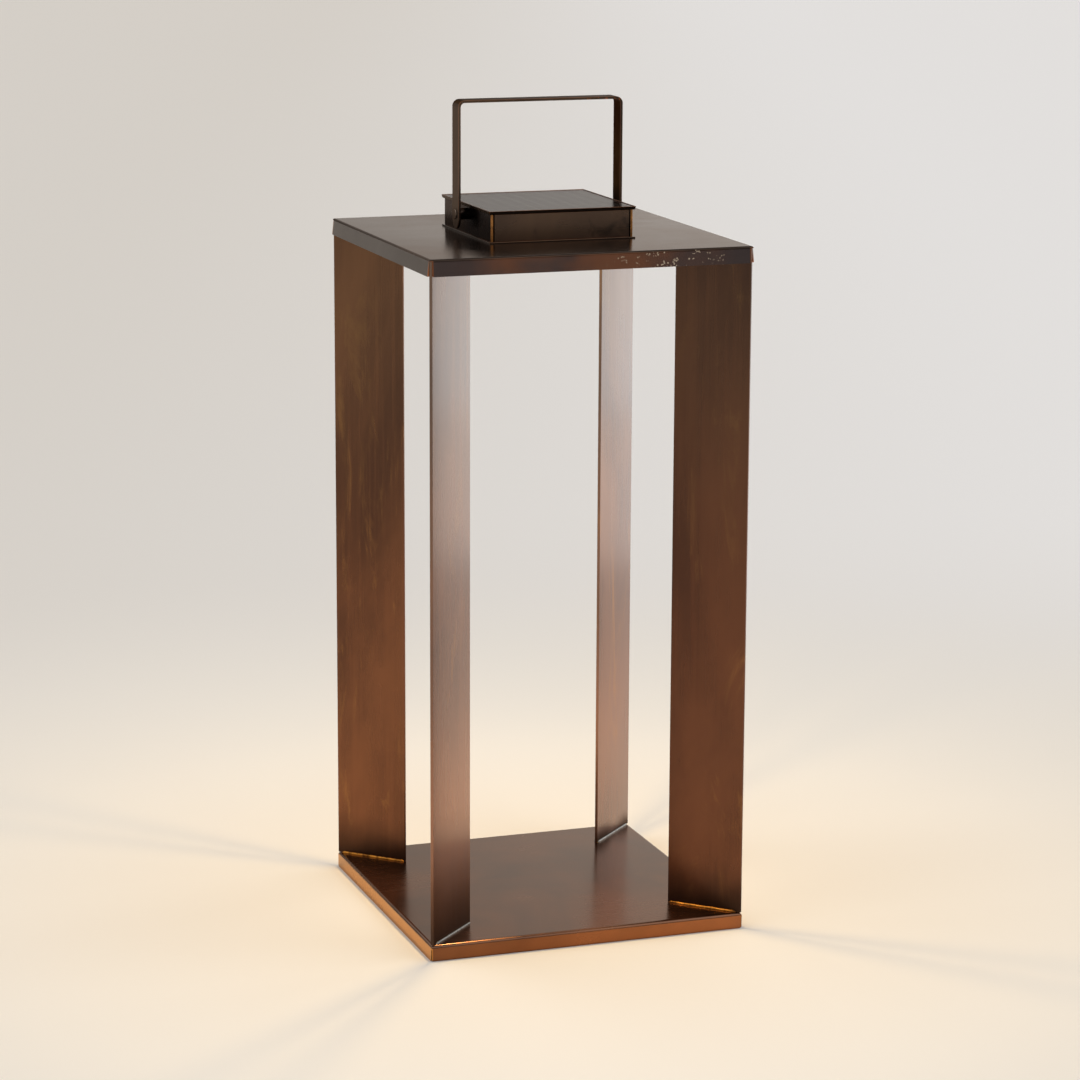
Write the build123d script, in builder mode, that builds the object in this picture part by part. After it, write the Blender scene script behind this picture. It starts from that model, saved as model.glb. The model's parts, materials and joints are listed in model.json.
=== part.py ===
"""Solar garden lantern: a folded base tray and a folded top plate joined by four corner plates,
with a solar lamp housing and a folding strap handle on top.

Millimetres, +Z up, origin at the centre of the footprint on the ground, X along the front side.
"""

from build123d import *
import os
from math import cos, radians, sin, sqrt, tan

os.makedirs("parts", exist_ok=True)

# Driving dimensions -------------------------------------------------------------------------
side = 260.0  # base tray and top plate, outside
sheet = 1.5  # sheet of the base tray and top plate
base_height = 13.0
base_bend = 3.0  # outside bend radius of the base tray
top_z = 548.0  # upper face of the top plate
skirt_drop = 13.0  # depth of the top plate's folded edge
skirt_flare = 6.0  # degrees that the folded edge leans outward
top_bend = 1.6  # outside bend radius of the top plate
seam_width = 0.6  # closed corner seams of the base tray
seam_setback = 1.6  # the top plate's flanges stop short of each corner by this
flap_corner = 1.2  # rounding of the top plate's flange ends

post_width = 63.2
post_thickness = 2.5
post_setback = 1.0  # outer edge of a post inside the corner, along the diagonal
post_edge = 0.5  # rounding of the posts' upright edges
weld_leg = 1.8  # leg length of each fillet weld

box_side = 116.5  # lamp housing, outside of its walls
box_wall = 2.0
box_seam = 1.0  # open gap beside each front and rear wall
flange_side = 119.5  # housing floor, which stands out under the walls
flange_thickness = 1.2
wall_top = top_z + 22.3
lid_side = 119.4
lid_height = 2.5
lid_sheet = 0.8

tub_side = 104.0  # sealed lamp module inside the housing
tub_wall = 1.8
tub_floor = 1.5
tub_corner = 12.0
gasket = 0.8
fixing_xy = 50.5  # centre of each corner fixing, in X and in Y
fixing_radius = 1.5  # shank of the corner screws
fixing_hole = 1.7
fixing_head = 3.0  # also the outer radius of the spacers under the lid

window_radius = 28.0  # light opening in the top plate
clear_radius = 25.0  # part of the diffuser that is seen
bezel_radius = 33.5
bezel_thickness = 2.0
bezel_circle = 30.6  # pitch radius of the bezel's four screws
countersink_depth = 0.9
cell_radius = 9.15  # 18650 lithium cell
cell_length = 65.0
cell_x = 39.5
board_y = 41.0
board_thickness = 1.6  # control board, switch board and emitter board
small_shank = 1.15  # radii of the small screws and of the holes they use
small_head = 2.2
small_hole = 1.3
spacer_bore = 1.25
button_y = -42.0
button_radius = 3.5
button_travel = 1.2
stem_radius = 1.5  # thin end of the button, inside the switch
guide_neck = 5.0  # outer radii of the button's guide
guide_flange = 6.5
guide_hole = 5.1
running_gap = 0.05  # radial clearance of a moving fit

handle_width = 136.0  # outside of the two legs
handle_top = top_z + 105.4
strap_width = 15.5
strap_thickness = 2.0
strap_bend = 5.5
strap_tail = 3.5  # the round ends are centred this far below the pivots
pivot_z = top_z + 16.5
pin_radius = 2.5
pin_head_radius = 4.0
pin_head_thickness = 0.8
bush_radius = 4.5
washer_radius = 5.5
washer_thickness = 0.5
nut_radius = 4.4  # to the corners
nut_thickness = 3.2
side_gap = 0.1  # between the strap and each face beside it
cut_past = 1.0  # cutting shapes run past the faces they cut by this

# Derived sizes ------------------------------------------------------------------------------
half = side / 2
plate_under = top_z - sheet
box_half = box_side / 2
floor_top = top_z + flange_thickness
tub_inner_floor = floor_top + tub_floor
tub_top = wall_top - gasket
corner_radius = half * sqrt(2)
post_outer = corner_radius - post_setback
post_inner = post_outer - post_width
corners = {"right_rear": 45, "left_rear": 135, "left_front": 225, "right_front": 315}
post_names = {"left_rear": "post_left", "left_front": "post_front",
              "right_front": "post_right", "right_rear": "post_rear"}
fixings = [(x, y) for x in (-fixing_xy, fixing_xy) for y in (-fixing_xy, fixing_xy)]


def save(part, name):
    """Label one finished sub-part and write its STEP file."""
    part.label = name
    export_step(part, f"parts/{name}.step")


def radial_plane(angle, z=0.0):
    """Horizontal plane at height z whose X axis points outward at the given angle."""
    return Plane(origin=(0, 0, z), x_dir=(cos(radians(angle)), sin(radians(angle)), 0), z_dir=(0, 0, 1))


def cylinders(name, places, radius, z_low, z_high, bore=0.0):
    """Write a group of equal upright cylinders, or sleeves where a bore is given."""
    with BuildPart() as group:
        with BuildSketch(Plane.XY.offset(z_low)):
            with Locations(*places):
                Circle(radius)
                if bore:
                    Circle(bore, mode=Mode.SUBTRACT)
        extrude(amount=z_high - z_low)
    save(group.part, name)


def plate_holes(mode):
    """Draw the openings that the top plate and the housing floor share."""
    Circle(window_radius, mode=mode)
    with Locations((0, button_y)):
        Circle(guide_hole, mode=mode)
    with Locations(*fixings):
        Circle(fixing_hole, mode=mode)
    with PolarLocations(bezel_circle, 4, start_angle=45):
        Circle(small_hole, mode=mode)


# Base tray: a square sheet with its four edges folded straight down -------------------------
with BuildPart() as base_tray:
    with BuildSketch():
        Rectangle(side, side)
    extrude(amount=base_height)
    fillet(base_tray.faces().sort_by(Axis.Z)[-1].edges(), base_bend)
    with BuildSketch():
        Rectangle(side - 2 * sheet, side - 2 * sheet)
    extrude(amount=base_height - sheet, mode=Mode.SUBTRACT)
    inside_corners = base_tray.edges().filter_by(GeomType.LINE).filter_by(
        lambda e: abs(e.center().Z - (base_height - sheet)) < 0.01)
    fillet(inside_corners, base_bend - sheet)
    for angle in corners.values():
        with BuildSketch(radial_plane(angle)):
            with Locations((corner_radius, 0)):
                Rectangle(12, seam_width)
        extrude(amount=base_height - base_bend - 0.5, mode=Mode.SUBTRACT)
    flap_ends = base_tray.edges().filter_by(lambda e: e.center().Z < 0.01 and 1 < e.length < 4)
    fillet(flap_ends, 1.6)
save(base_tray.part, "base_tray")

# Corner plates, each standing on the diagonal of its corner ---------------------------------
for corner, angle in corners.items():
    with BuildPart() as post:
        with BuildSketch(radial_plane(angle, base_height)):
            with Locations(((post_inner + post_outer) / 2, 0)):
                Rectangle(post_width, post_thickness)
        extrude(amount=plate_under - base_height)
        fillet(post.edges().filter_by(Axis.Z), post_edge)
    save(post.part, post_names[corner])


def weld_beads(name, z, direction):
    """Fillet welds along both faces of each post, on the plate at height z."""
    bead_start, bead_end = post_inner + 1.5, (half - base_bend) * sqrt(2) - 2.0
    with BuildPart() as beads:
        for angle in corners.values():
            outward = (cos(radians(angle)), sin(radians(angle)), 0)
            for hand in (-1, 1):
                across = (-hand * sin(radians(angle)), hand * cos(radians(angle)), 0)
                start = Vector(*outward) * bead_start + Vector(*across) * (post_thickness / 2)
                start = start + Vector(0, 0, z)
                section = Plane(origin=start, x_dir=across, z_dir=outward)
                up = direction * (1 if section.y_dir.Z > 0 else -1)
                with BuildSketch(section):
                    with BuildLine():
                        Polyline((0, up * weld_leg), (0, 0), (weld_leg, 0))
                        RadiusArc((weld_leg, 0), (0, up * weld_leg), up * 1.6 * weld_leg)
                    make_face()
                extrude(amount=bead_end - bead_start)
    save(beads.part, name)


weld_beads("foot_welds", base_height, 1)
weld_beads("head_welds", plate_under, -1)

# Top plate: flared folded edges with open corner seams --------------------------------------
skirt_low = top_z - skirt_drop
inner_half = half - sheet / cos(radians(skirt_flare)) - sheet * tan(radians(skirt_flare))
with BuildPart() as top_plate:
    with BuildSketch(Plane.XY.offset(top_z)):
        Rectangle(side, side)
    extrude(amount=-skirt_drop, taper=-skirt_flare)
    fillet(top_plate.faces().sort_by(Axis.Z)[-1].edges(), top_bend)
    with BuildSketch(Plane.XY.offset(plate_under)):
        Rectangle(2 * inner_half + 0.4, 2 * inner_half + 0.4)
    extrude(amount=-skirt_drop, taper=-skirt_flare, mode=Mode.SUBTRACT)
    notch = 6.0
    notch_centre = half - seam_setback + notch / 2
    with BuildSketch(Plane.XY.offset(plate_under - 0.4)):
        with GridLocations(2 * notch_centre, 2 * notch_centre, 2, 2):
            Rectangle(notch, notch)
    extrude(amount=-skirt_drop, mode=Mode.SUBTRACT)
    flange_ends = top_plate.edges().filter_by(
        lambda e: e.center().Z < skirt_low + 0.05 and 1 < e.length < 4)
    fillet(flange_ends, flap_corner)
    for angle in corners.values():
        with BuildSketch(radial_plane(angle, plate_under)):
            with Locations((corner_radius, 0)):
                Rectangle(12, post_thickness + 0.1)
        extrude(amount=-skirt_drop, mode=Mode.SUBTRACT)
    with BuildSketch(Plane.XY.offset(plate_under - cut_past)):
        plate_holes(Mode.ADD)
    extrude(amount=sheet + 2 * cut_past, mode=Mode.SUBTRACT)
save(top_plate.part, "top_plate")

# Lamp housing: a floor with a flange, and four walls that meet at open corner seams ----------
with BuildPart() as housing_floor:
    with BuildSketch(Plane.XY.offset(top_z)):
        Rectangle(flange_side, flange_side)
        plate_holes(Mode.SUBTRACT)
    extrude(amount=flange_thickness)
    fillet(housing_floor.faces().sort_by(Axis.Z)[-1].outer_wire().edges(), 0.4)
save(housing_floor.part, "housing_floor")

foot_length, foot_reach, foot_thickness = 60.0, 3.6, 1.2
for name, hand in (("housing_wall_left", -1), ("housing_wall_right", 1)):
    with BuildPart() as side_wall:
        with BuildSketch(Plane.XY.offset(floor_top)):
            with Locations((hand * (box_half - box_wall / 2), 0)):
                Rectangle(box_wall, box_side)
        extrude(amount=wall_top - floor_top)
        outer_edges = side_wall.edges().filter_by(Axis.Z).filter_by(
            lambda e, hand=hand: e.center().X * hand > box_half - 0.1)
        fillet(outer_edges, 1.0)
        with BuildSketch(Plane.XY.offset(floor_top)):
            with Locations((hand * (box_half - box_wall - foot_reach / 2), 0)):
                Rectangle(foot_reach, foot_length)
        extrude(amount=foot_thickness)
        with BuildSketch(Plane.YZ.offset(-box_half - cut_past)):
            with Locations((0, pivot_z)):
                Circle(pin_radius + running_gap)
        extrude(amount=box_side + 2 * cut_past, mode=Mode.SUBTRACT)
    save(side_wall.part, name)

panel_length = box_side - 2 * (box_wall + box_seam)
for name, hand in (("housing_wall_front", -1), ("housing_wall_rear", 1)):
    with BuildPart() as end_wall:
        with BuildSketch(Plane.XY.offset(floor_top)):
            with Locations((0, hand * (box_half - box_wall / 2))):
                Rectangle(panel_length, box_wall)
        extrude(amount=wall_top - floor_top)
        fillet(end_wall.edges().filter_by(Axis.Z), 0.4)
        with BuildSketch(Plane.XY.offset(floor_top)):
            with Locations((0, hand * (box_half - box_wall - foot_reach / 2))):
                Rectangle(foot_length, foot_reach)
        extrude(amount=foot_thickness)
    save(end_wall.part, name)

# Lid: a shallow tray with its rim folded up, holding the solar panel -------------------------
lead_hole = (0, 30)
with BuildPart() as lid_tray:
    with BuildSketch(Plane.XY.offset(wall_top)):
        Rectangle(lid_side, lid_side)
    extrude(amount=lid_height)
    fillet(lid_tray.faces().sort_by(Axis.Z)[0].edges(), 0.6)
    with BuildSketch(Plane.XY.offset(wall_top + lid_sheet)):
        Rectangle(lid_side - 2 * lid_sheet, lid_side - 2 * lid_sheet)
    extrude(amount=lid_height, mode=Mode.SUBTRACT)
    with BuildSketch(Plane.XY.offset(wall_top - cut_past)):
        with Locations(lead_hole):
            Circle(2.0)
    extrude(amount=lid_sheet + 2 * cut_past, mode=Mode.SUBTRACT)
save(lid_tray.part, "lid_tray")

panel_side = lid_side - 2 * lid_sheet - 0.6
panel_board = 0.6  # thicknesses of the panel's layers
panel_cell = 0.2
board_z = wall_top + lid_sheet
with BuildPart() as solar_board:
    with BuildSketch(Plane.XY.offset(board_z)):
        Rectangle(panel_side, panel_side)
    extrude(amount=panel_board)
save(solar_board.part, "solar_board")

cell_count, cell_gap = 10, 0.8
cell_field = panel_side - 4.0
strip = (cell_field - (cell_count - 1) * cell_gap) / cell_count
with BuildPart() as solar_cells:
    with BuildSketch(Plane.XY.offset(board_z + panel_board)):
        with GridLocations(strip + cell_gap, 1, cell_count, 1):
            Rectangle(strip, cell_field)
    extrude(amount=panel_cell)
save(solar_cells.part, "solar_cells")

with BuildPart() as panel_cover:
    with BuildSketch(Plane.XY.offset(board_z + panel_board + panel_cell)):
        Rectangle(panel_side, panel_side)
    extrude(amount=0.7)
    fillet(panel_cover.faces().sort_by(Axis.Z)[-1].edges(), 0.3)
save(panel_cover.part, "panel_cover")

# Lamp module: a plastic tub that closes against the lid ---------------------------------------
with BuildPart() as module_tub:
    with BuildSketch(Plane.XY.offset(floor_top)) as tub_outline:
        Rectangle(tub_side, tub_side)
        chamfer(tub_outline.vertices(), tub_corner)
    extrude(amount=tub_top - floor_top)
    with BuildSketch(Plane.XY.offset(tub_inner_floor)) as tub_inside:
        Rectangle(tub_side - 2 * tub_wall, tub_side - 2 * tub_wall)
        chamfer(tub_inside.vertices(), tub_corner - tub_wall * (2 - sqrt(2)))
    extrude(amount=tub_top, mode=Mode.SUBTRACT)
    with BuildSketch(Plane.XY.offset(floor_top - cut_past)):
        Circle(clear_radius)
        with Locations((0, button_y)):
            Circle(guide_hole)
    extrude(amount=tub_floor + 2 * cut_past, mode=Mode.SUBTRACT)
save(module_tub.part, "module_tub")

with BuildPart() as tub_gasket:
    with BuildSketch(Plane.XY.offset(tub_top)) as gasket_ring:
        Rectangle(tub_side - 0.4, tub_side - 0.4)
        chamfer(gasket_ring.vertices(), tub_corner)
        offset(amount=-1.2, mode=Mode.SUBTRACT)
    extrude(amount=gasket)
save(tub_gasket.part, "tub_gasket")

# Corner fixings: long screws from below into spacers under the lid ----------------------------
cylinders("lid_spacers", fixings, fixing_head, floor_top, wall_top, bore=fixing_radius + running_gap)
head_height = 2.0
with BuildPart() as housing_screws:
    with BuildSketch(Plane.XY.offset(plate_under)):
        with Locations(*fixings):
            Circle(fixing_head)
    extrude(amount=-head_height)
    fillet(housing_screws.faces().group_by(Axis.Z)[0].edges(), 0.8)
    with BuildSketch(Plane.XY.offset(plate_under)):
        with Locations(*fixings):
            Circle(fixing_radius)
    extrude(amount=14.0)
    with BuildSketch(Plane.XY.offset(plate_under - head_height)):
        with Locations(*fixings):
            RegularPolygon(1.2, 6)
    extrude(amount=1.2, mode=Mode.SUBTRACT)
save(housing_screws.part, "housing_screws")

# Light: diffuser, bezel, reflector, emitters and heat spreader --------------------------------
diffuser_radius = window_radius - 0.2
diffuser_top = plate_under + 2.0
cylinders("diffuser", [(0, 0)], diffuser_radius, plate_under, diffuser_top)
cylinders("diffuser_gasket", [(0, 0)], diffuser_radius, diffuser_top, floor_top, bore=clear_radius)

with BuildPart() as diffuser_bezel:
    with BuildSketch(Plane.XY.offset(plate_under)):
        Circle(bezel_radius)
        Circle(clear_radius, mode=Mode.SUBTRACT)
    extrude(amount=-bezel_thickness)
    fillet(diffuser_bezel.faces().sort_by(Axis.Z)[0].edges(), 0.5)
    with BuildSketch(Plane.XY.offset(plate_under - bezel_thickness)):
        with PolarLocations(bezel_circle, 4, start_angle=45):
            Circle(small_hole)
    extrude(amount=bezel_thickness, mode=Mode.SUBTRACT)
    with BuildSketch(Plane.XY.offset(plate_under - bezel_thickness)):
        with PolarLocations(bezel_circle, 4, start_angle=45):
            Circle(small_head)
    extrude(amount=countersink_depth, taper=45, mode=Mode.SUBTRACT)
save(diffuser_bezel.part, "diffuser_bezel")

with BuildPart() as bezel_screws:
    head_z = plate_under - bezel_thickness
    with BuildSketch(Plane.XY.offset(head_z)):
        with PolarLocations(bezel_circle, 4, start_angle=45):
            Circle(small_head - running_gap)
    extrude(amount=countersink_depth, taper=45)
    with BuildSketch(Plane.XY.offset(head_z)):
        with PolarLocations(bezel_circle, 4, start_angle=45):
            Circle(small_hole - running_gap)
    extrude(amount=4.6)
    with BuildSketch(Plane.XY.offset(head_z)):
        with PolarLocations(bezel_circle, 4, start_angle=45):
            Rectangle(2.2, 0.5)
            Rectangle(0.5, 2.2)
    extrude(amount=0.5, mode=Mode.SUBTRACT)
save(bezel_screws.part, "bezel_screws")

spreader_z = tub_inner_floor + 7.6
spreader_thickness = 2.0
led_z = spreader_z - board_thickness
throat = 17.0  # radius of the reflector beside the emitters
with BuildPart() as reflector:
    with BuildSketch(Plane.XZ):
        with BuildLine():
            Polyline((clear_radius, tub_inner_floor), (window_radius, tub_inner_floor),
                     (window_radius, tub_inner_floor + 1), (clear_radius + 0.6, tub_inner_floor + 1),
                     (throat + 1, led_z), (throat, led_z), close=True)
        make_face()
    revolve(axis=Axis.Z)
save(reflector.part, "reflector")

cylinders("led_board", [(0, 0)], 20.0, led_z, spreader_z)
with BuildPart() as led_emitters:
    with BuildSketch(Plane.XY.offset(led_z)):
        Rectangle(3, 3)
        with PolarLocations(11.0, 8):
            Rectangle(3, 3)
    extrude(amount=-0.7)
save(led_emitters.part, "led_emitters")

spreader_posts = [(x, y) for x in (-23, 23) for y in (-23, 23)]
with BuildPart() as heat_spreader:
    with BuildSketch(Plane.XY.offset(spreader_z)):
        RectangleRounded(52, 52, 3)
        with Locations(*spreader_posts):
            Circle(small_hole, mode=Mode.SUBTRACT)
    extrude(amount=spreader_thickness)
save(heat_spreader.part, "heat_spreader")
cylinders("spreader_spacers", spreader_posts, 2.5, tub_inner_floor, spreader_z, bore=spacer_bore)


def pan_screws(name, places, seat_z, shank):
    """Small pan-head screws whose heads sit on top of seat_z."""
    with BuildPart() as screws:
        with BuildSketch(Plane.XY.offset(seat_z)):
            with Locations(*places):
                Circle(small_head)
        extrude(amount=1.5)
        fillet(screws.faces().group_by(Axis.Z)[-1].edges(), 0.5)
        with BuildSketch(Plane.XY.offset(seat_z)):
            with Locations(*places):
                Circle(small_shank)
        extrude(amount=-shank)
    save(screws.part, name)


pan_screws("spreader_screws", spreader_posts, spreader_z + spreader_thickness, 6.5)

# Batteries in their saddles ---------------------------------------------------------------
cell_z = tub_inner_floor + 0.1 + cell_radius
end_relief = 0.8  # depth of the round recess in a cell's front end
for name, hand in (("battery_left", -1), ("battery_right", 1)):
    with BuildPart() as battery:
        with BuildSketch(Plane.XZ.offset(-cell_length / 2)):
            with Locations((hand * cell_x, cell_z)):
                Circle(cell_radius)
        extrude(amount=cell_length)
        fillet(battery.edges(), 0.6)
        with BuildSketch(Plane.XZ.offset(-cell_length / 2)):
            with Locations((hand * cell_x, cell_z)):
                Circle(2.8)
        extrude(amount=-end_relief)
    save(battery.part, name)

with BuildPart() as battery_saddles:
    with BuildSketch(Plane.XY.offset(tub_inner_floor)):
        with Locations((-cell_x, -20), (-cell_x, 20), (cell_x, -20), (cell_x, 20)):
            Rectangle(18.0, 8.0)
    extrude(amount=6.0)
    with BuildSketch(Plane.XZ.offset(-cell_length)):
        with Locations((-cell_x, cell_z), (cell_x, cell_z)):
            Circle(cell_radius + 0.08)
    extrude(amount=2 * cell_length, mode=Mode.SUBTRACT)
save(battery_saddles.part, "battery_saddles")

with BuildPart() as battery_tabs:
    for hand in (-1, 1):
        with BuildSketch(Plane.XZ.offset(-cell_length / 2 - end_relief)):
            with Locations((hand * cell_x, cell_z)):
                Rectangle(5, 8)
        extrude(amount=-0.3)
        with BuildSketch(Plane.XZ.offset(cell_length / 2)):
            with Locations((hand * cell_x, cell_z)):
                Rectangle(5, 8)
        extrude(amount=0.3)
save(battery_tabs.part, "battery_tabs")

# Control board with its parts ---------------------------------------------------------------
board_low = tub_inner_floor + 3.3
board_top = board_low + board_thickness
board_posts = [(x, board_y + y) for x in (-22, 22) for y in (-5.5, 5.5)]
with BuildPart() as control_board:
    with BuildSketch(Plane.XY.offset(board_low)):
        with Locations((0, board_y)):
            Rectangle(52, 17)
        with Locations(*board_posts):
            Circle(small_hole, mode=Mode.SUBTRACT)
    extrude(amount=board_thickness)
save(control_board.part, "control_board")
cylinders("board_spacers", board_posts, 2.4, tub_inner_floor, board_low, bore=spacer_bore)
pan_screws("board_screws", board_posts, board_top, 4.2)

plug_height = 5.0
with BuildPart() as board_parts:
    with BuildSketch(Plane.XY.offset(board_top)):
        with Locations((-13, board_y), (13, board_y)):
            Rectangle(8, 6)
    extrude(amount=plug_height)
    with BuildSketch(Plane.XY.offset(board_top)):
        with Locations((-2.5, board_y + 3)):
            Rectangle(6, 6)
        with Locations((-1, board_y - 5), (2.5, board_y - 5), (6, board_y - 5)):
            Rectangle(2, 1.3)
    extrude(amount=1.1)
    with BuildSketch(Plane.XY.offset(board_top)):
        with Locations((4.8, board_y + 3)):
            Circle(3.0)
    extrude(amount=7.0)
save(board_parts.part, "board_parts")

# Push button under the top plate ------------------------------------------------------------
guide_top = tub_inner_floor + 0.5
button_low = plate_under - 3.0
with BuildPart() as button_guide:
    with BuildSketch(Plane.XY.offset(plate_under)):
        with Locations((0, button_y)):
            Circle(guide_flange)
    extrude(amount=-1.4)
    fillet(button_guide.faces().sort_by(Axis.Z)[0].edges(), 0.6)
    with BuildSketch(Plane.XY.offset(plate_under)):
        with Locations((0, button_y)):
            Circle(guide_neck)
    extrude(amount=guide_top - plate_under)
    with BuildSketch(Plane.XY.offset(button_low)):
        with Locations((0, button_y)):
            Circle(button_radius + running_gap)
    extrude(amount=20, mode=Mode.SUBTRACT)
save(button_guide.part, "button_guide")

stop_z = guide_top + 0.3
collar = 1.0
with BuildPart() as push_button:
    with BuildSketch(Plane.XY.offset(button_low)):
        with Locations((0, button_y)):
            Circle(button_radius)
    extrude(amount=stop_z - button_low)
    fillet(push_button.faces().sort_by(Axis.Z)[0].edges(), 0.8)
    with BuildSketch(Plane.XY.offset(stop_z)):
        with Locations((0, button_y)):
            Circle(4.8)
    extrude(amount=collar)
    with BuildSketch(Plane.XY.offset(stop_z + collar)):
        with Locations((0, button_y)):
            Circle(stem_radius)
    extrude(amount=3.4)
save(push_button.part, "push_button")

switch_low = stop_z + collar + button_travel + 0.5
switch_top = switch_low + 4.5
with BuildPart() as tact_switch:
    with BuildSketch(Plane.XY.offset(switch_low)):
        with Locations((0, button_y)):
            Rectangle(6, 6)
    extrude(amount=switch_top - switch_low)
    with BuildSketch(Plane.XY.offset(switch_low)):
        with Locations((0, button_y)):
            Circle(stem_radius + running_gap)
    extrude(amount=3.8, mode=Mode.SUBTRACT)
save(tact_switch.part, "tact_switch")

switch_posts = [(-9, button_y), (9, button_y)]
with BuildPart() as switch_board:
    with BuildSketch(Plane.XY.offset(switch_top)):
        with Locations((0, button_y)):
            Rectangle(24, 10)
        with Locations(*switch_posts):
            Circle(small_hole, mode=Mode.SUBTRACT)
    extrude(amount=board_thickness)
save(switch_board.part, "switch_board")
cylinders("switch_spacers", switch_posts, 2.3, tub_inner_floor, switch_top, bore=spacer_bore)
pan_screws("switch_screws", switch_posts, switch_top + board_thickness, 5.5)

# Handle: a folding bail of flat strap on two shoulder pins ------------------------------------
tail_z = pivot_z - strap_tail
bail_bottom = tail_z - strap_width / 2 - cut_past
outer_height = handle_top - bail_bottom
with BuildPart() as handle_strap:
    with BuildSketch(Plane.XZ):
        with Locations((0, bail_bottom + outer_height / 2)):
            Rectangle(handle_width, outer_height)
        with Locations((0, bail_bottom + (outer_height - strap_thickness) / 2)):
            Rectangle(handle_width - 2 * strap_thickness, outer_height - strap_thickness, mode=Mode.SUBTRACT)
    extrude(amount=strap_width / 2, both=True)
    bends = handle_strap.edges().filter_by(Axis.Y)
    fillet(bends.filter_by(lambda e: e.center().Z > handle_top - 0.01), strap_bend)
    bends = handle_strap.edges().filter_by(Axis.Y)
    inner_z = handle_top - strap_thickness
    fillet(bends.filter_by(lambda e: abs(e.center().Z - inner_z) < 0.01), strap_bend - strap_thickness)
    with BuildSketch(Plane.YZ.offset(-handle_width / 2)):
        with Locations((0, (tail_z + handle_top) / 2)):
            Rectangle(strap_width, handle_top - tail_z)
        with Locations((0, tail_z)):
            Circle(strap_width / 2)
    extrude(amount=handle_width, mode=Mode.INTERSECT)
    with BuildSketch(Plane.YZ.offset(-handle_width)):
        with Locations((0, pivot_z)):
            Circle(pin_radius + running_gap)
    extrude(amount=2 * handle_width, mode=Mode.SUBTRACT)
save(handle_strap.part, "handle_strap")

strap_inside = handle_width / 2 - strap_thickness
head_face = handle_width / 2 + side_gap
washer_face = strap_inside - side_gap - washer_thickness
for name, hand in (("left", -1), ("right", 1)):
    wall_face = Plane.YZ.offset(hand * box_half)
    with BuildPart() as bush:
        with BuildSketch(wall_face):
            with Locations((0, pivot_z)):
                Circle(bush_radius)
                Circle(pin_radius + running_gap, mode=Mode.SUBTRACT)
        extrude(amount=hand * (washer_face - box_half))
    save(bush.part, f"pivot_bush_{name}")
    with BuildPart() as washer:
        with BuildSketch(Plane.YZ.offset(hand * washer_face)):
            with Locations((0, pivot_z)):
                Circle(washer_radius)
                Circle(pin_radius + running_gap, mode=Mode.SUBTRACT)
        extrude(amount=hand * washer_thickness)
    save(washer.part, f"pivot_washer_{name}")
    with BuildPart() as pin:
        with BuildSketch(Plane.YZ.offset(hand * head_face)):
            with Locations((0, pivot_z)):
                Circle(pin_head_radius)
        extrude(amount=hand * pin_head_thickness)
        fillet(pin.edges().sort_by(Axis.X)[0 if hand < 0 else -1], 0.5)
        with BuildSketch(Plane.YZ.offset(hand * head_face)):
            with Locations((0, pivot_z)):
                Circle(pin_radius)
        extrude(amount=-hand * (head_face - box_half + box_wall + nut_thickness + 0.4))
    save(pin.part, f"pivot_pin_{name}")
    with BuildPart() as nut:
        with BuildSketch(Plane.YZ.offset(hand * (box_half - box_wall))):
            with Locations((0, pivot_z)):
                RegularPolygon(nut_radius, 6)
                Circle(pin_radius + running_gap, mode=Mode.SUBTRACT)
        extrude(amount=-hand * nut_thickness)
    save(nut.part, f"pivot_nut_{name}")


# Leads inside the lamp module -----------------------------------------------------------------
def lead(name, runs, diameter=1.4):
    """Write insulated leads, each swept along straight runs joined by arcs."""
    solids = []
    for points in runs:
        legs = [Vector(*b) - Vector(*a) for a, b in zip(points, points[1:])]
        radii = []
        for first, second in zip(legs, legs[1:]):
            turn = first.get_angle(second)
            radii.append(0.45 * min(first.length, second.length) / tan(radians(turn / 2)))
        with BuildPart() as wire:
            with BuildLine():
                route = FilletPolyline(*points, radius=radii)
            with BuildSketch(Plane(origin=route @ 0, z_dir=route % 0)):
                Circle(diameter / 2)
            sweep()
        solids.append(wire.part)
    with BuildPart() as group:
        add(solids)
    save(group.part, name)


plug_top = board_top + plug_height
lead("panel_lead", [
    [(*lead_hole, board_z), (*lead_hole, 566.5), (-5.5, 35, 564.2), (-12, 41, 564.8), (-12, 41, plug_top)]])
lead("battery_leads", [
    [(hand * 38.5, 33.6, 561.0), (hand * 38.5, 38.5, 561.0), (hand * 28.0, 41.0, 564.0),
     (hand * 16.0, 40.0, 565.2), (hand * 16.0, 40.0, plug_top)]
    for hand in (-1, 1)])
lead("led_lead", [
    [(8, 20, spreader_z + spreader_thickness), (8, 20, 564.2), (9, 31, 565.6), (11, 40, 564.8),
     (11, 40, plug_top)]])
lead("switch_lead", [
    [(4, -40, switch_top + board_thickness), (4, -40, 564.6), (14, -24, 566.4), (18, -1, 566.9),
     (17, 22, 566.6), (13.5, 42.5, 565.4), (13.5, 42.5, plug_top)]])
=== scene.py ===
"""Looks of the solar garden lantern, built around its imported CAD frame. Units are metres."""
import json
import math

import bmesh
import bpy
from mathutils import Matrix, Vector, noise

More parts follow.
